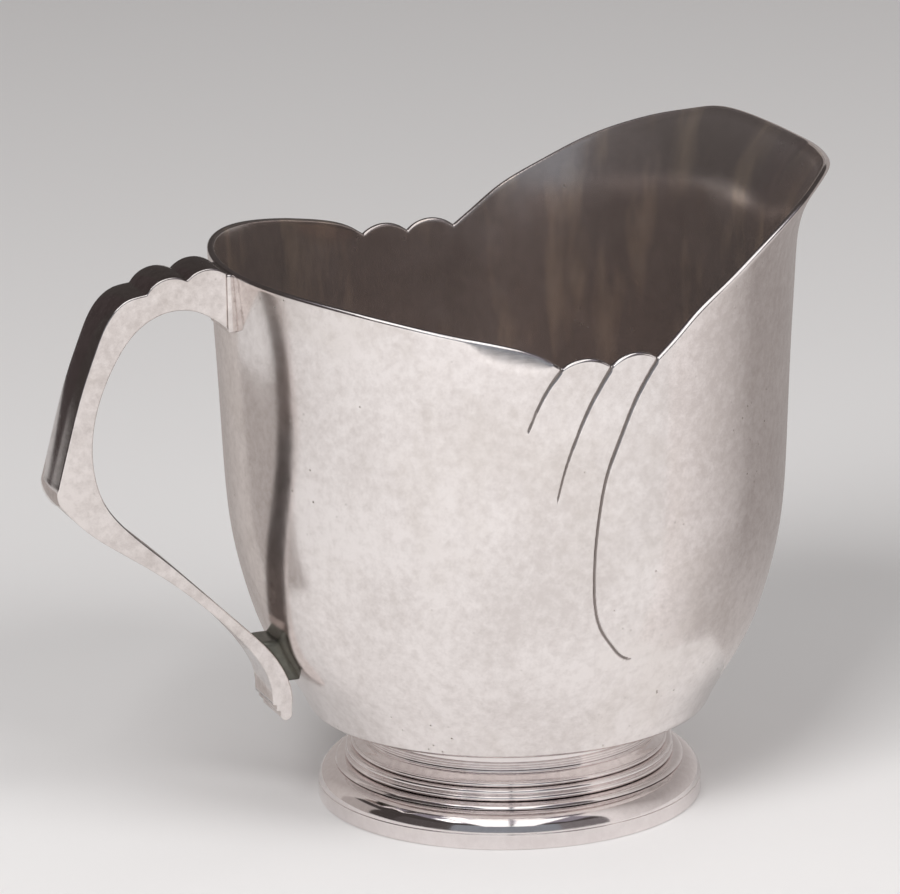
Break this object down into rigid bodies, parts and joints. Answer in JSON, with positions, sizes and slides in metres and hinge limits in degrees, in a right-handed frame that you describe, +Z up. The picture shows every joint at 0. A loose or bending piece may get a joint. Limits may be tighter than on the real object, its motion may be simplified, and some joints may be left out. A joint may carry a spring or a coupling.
{
  "type": "cream jug",
  "caption": "Footed cream jug: round spun bowl, scalloped sloping mouth rising to a turned-out pouring lip, flat strap handle, stepped ring foot.",
  "frame": {"origin": "centre of the foot's underside, on the axis of the bowl", "axes": "+Z up along the bowl's axis, +X from the handle to the pouring lip, Y across the jug; the jug is the same on both sides of the XZ plane"},
  "size_m": [0.1231, 0.0876, 0.0985],
  "materials": {
    "silver_body": "worn satin silver, fine scratches",
    "silver_foot": "polished silver mouldings, darker in the recesses",
    "silver_handle": "satin silver with bright worn edges",
    "silver_seat": "darkened solder seam"
  },
  "bodies": {
    "root": {"body_shell": "silver_body", "neck_collar": "silver_foot", "foot_bead": "silver_foot", "foot_ogee_ring": "silver_foot", "foot_flange": "silver_foot", "foot_band": "silver_foot", "handle": "silver_handle", "handle_seat_upper": "silver_seat", "handle_seat_lower": "silver_seat"}
  },
  "joints": []
}
